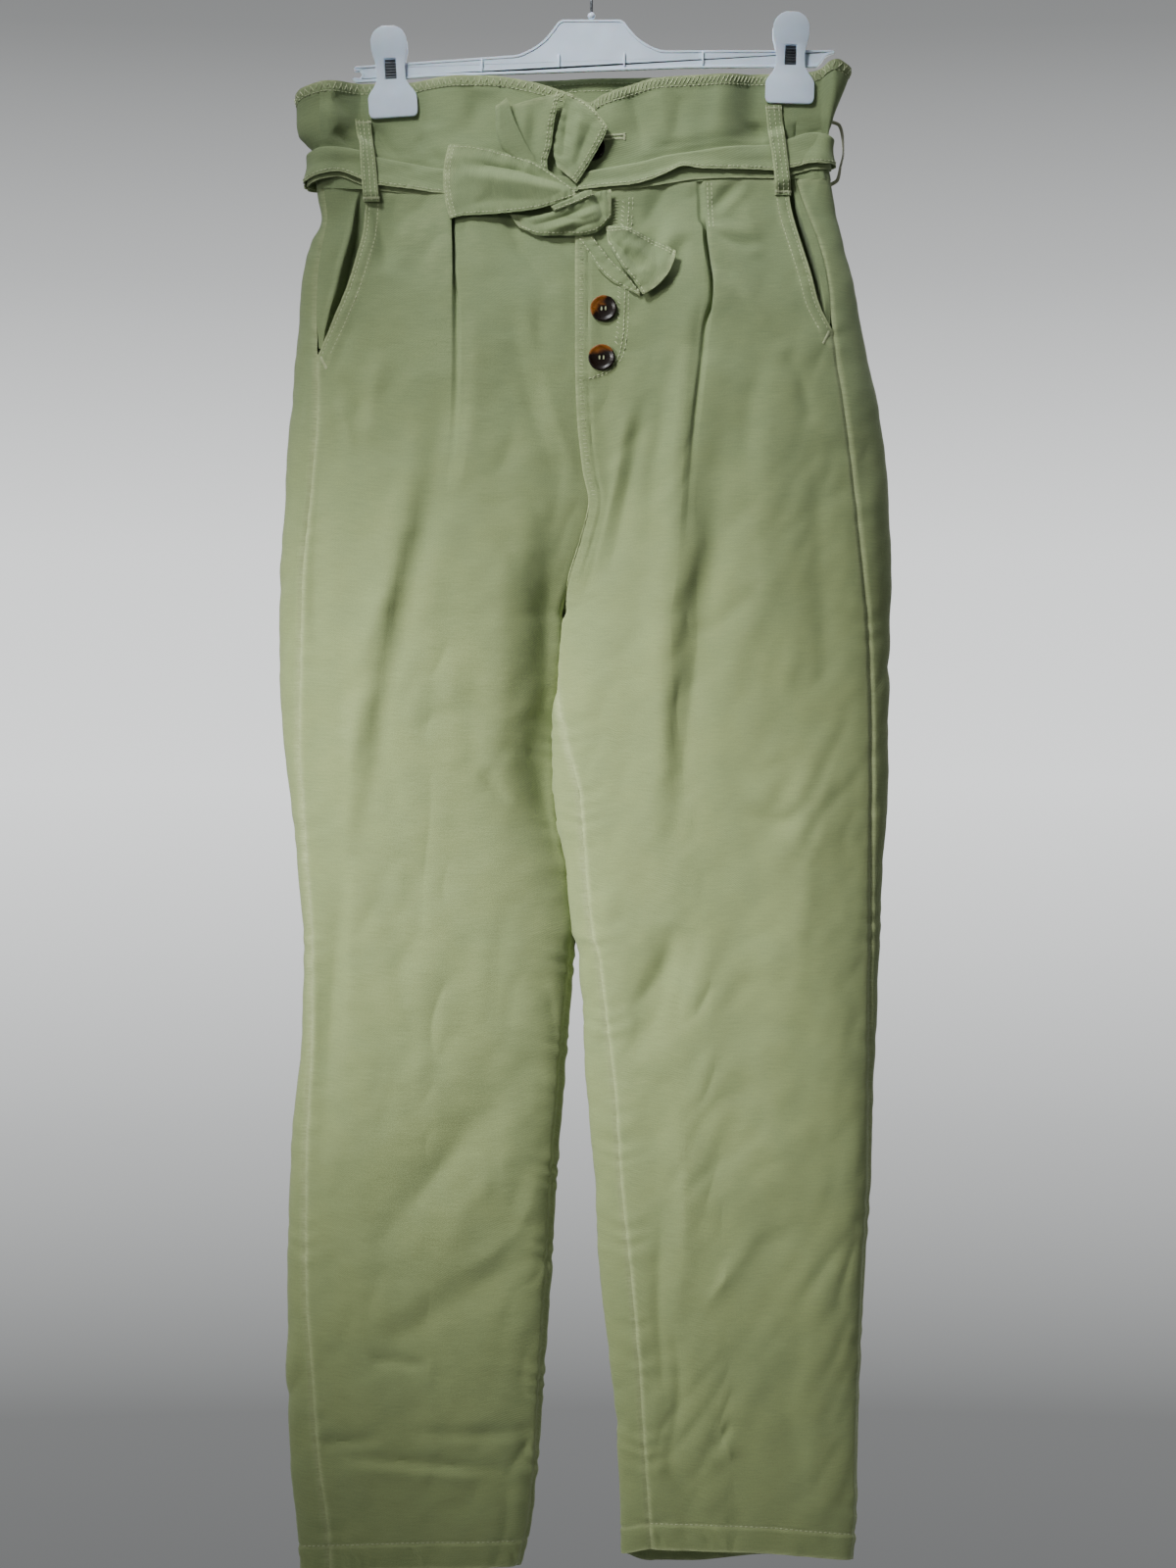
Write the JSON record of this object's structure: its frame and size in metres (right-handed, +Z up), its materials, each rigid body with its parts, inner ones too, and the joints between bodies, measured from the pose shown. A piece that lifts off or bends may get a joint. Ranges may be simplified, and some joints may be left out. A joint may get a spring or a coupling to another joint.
{
  "type": "paperbag waist trousers on a clip hanger",
  "caption": "Long paperbag waist trousers with a tall gathered band, knife pleats, slant pockets and a tie belt in a bow, held by a clip hanger.",
  "frame": {"origin": "inside top of the hanger's hook, where its wire rests on a rail", "axes": "+Z up, -Y towards the front of the trousers, +X towards the wearer's left"},
  "size_m": [0.4205, 0.0866, 1.137],
  "materials": {
    "cloth": "washed cotton twill",
    "tape": "thin woven tape",
    "button": "polished, mottled",
    "hanger": "satin moulded plastic",
    "steel": "drawn wire"
  },
  "bodies": {
    "root": {"front_right": "cloth", "front_left": "cloth", "back_right": "cloth", "back_left": "cloth", "band_front_right": "cloth", "band_front_left": "cloth", "band_back": "cloth", "pocket_facing_right": "cloth", "pocket_facing_left": "cloth", "fly_underlap": "cloth", "loop_front_right": "cloth", "loop_front_left": "cloth", "loop_back_right": "cloth", "loop_back_centre": "cloth", "loop_back_left": "cloth", "sash_right": "cloth", "sash_left": "cloth", "sash_back": "cloth", "sash_tail_side": "cloth", "sash_tail_up": "cloth", "sash_ear": "cloth", "sash_ear_edge": "cloth", "sash_strand": "cloth", "sash_knot": "cloth", "sash_loop_low": "cloth", "sash_loop_back": "cloth", "hanging_tape": "tape", "button_1": "button", "button_2": "button", "button_waist": "button", "hanger_body": "hanger", "hanger_ball": "hanger", "hanger_hook": "steel", "clip_front_right": "hanger", "clip_back_right": "hanger", "clip_front_left": "hanger", "clip_back_left": "hanger", "clip_spring_right": "steel", "clip_spring_left": "steel"}
  },
  "joints": []
}
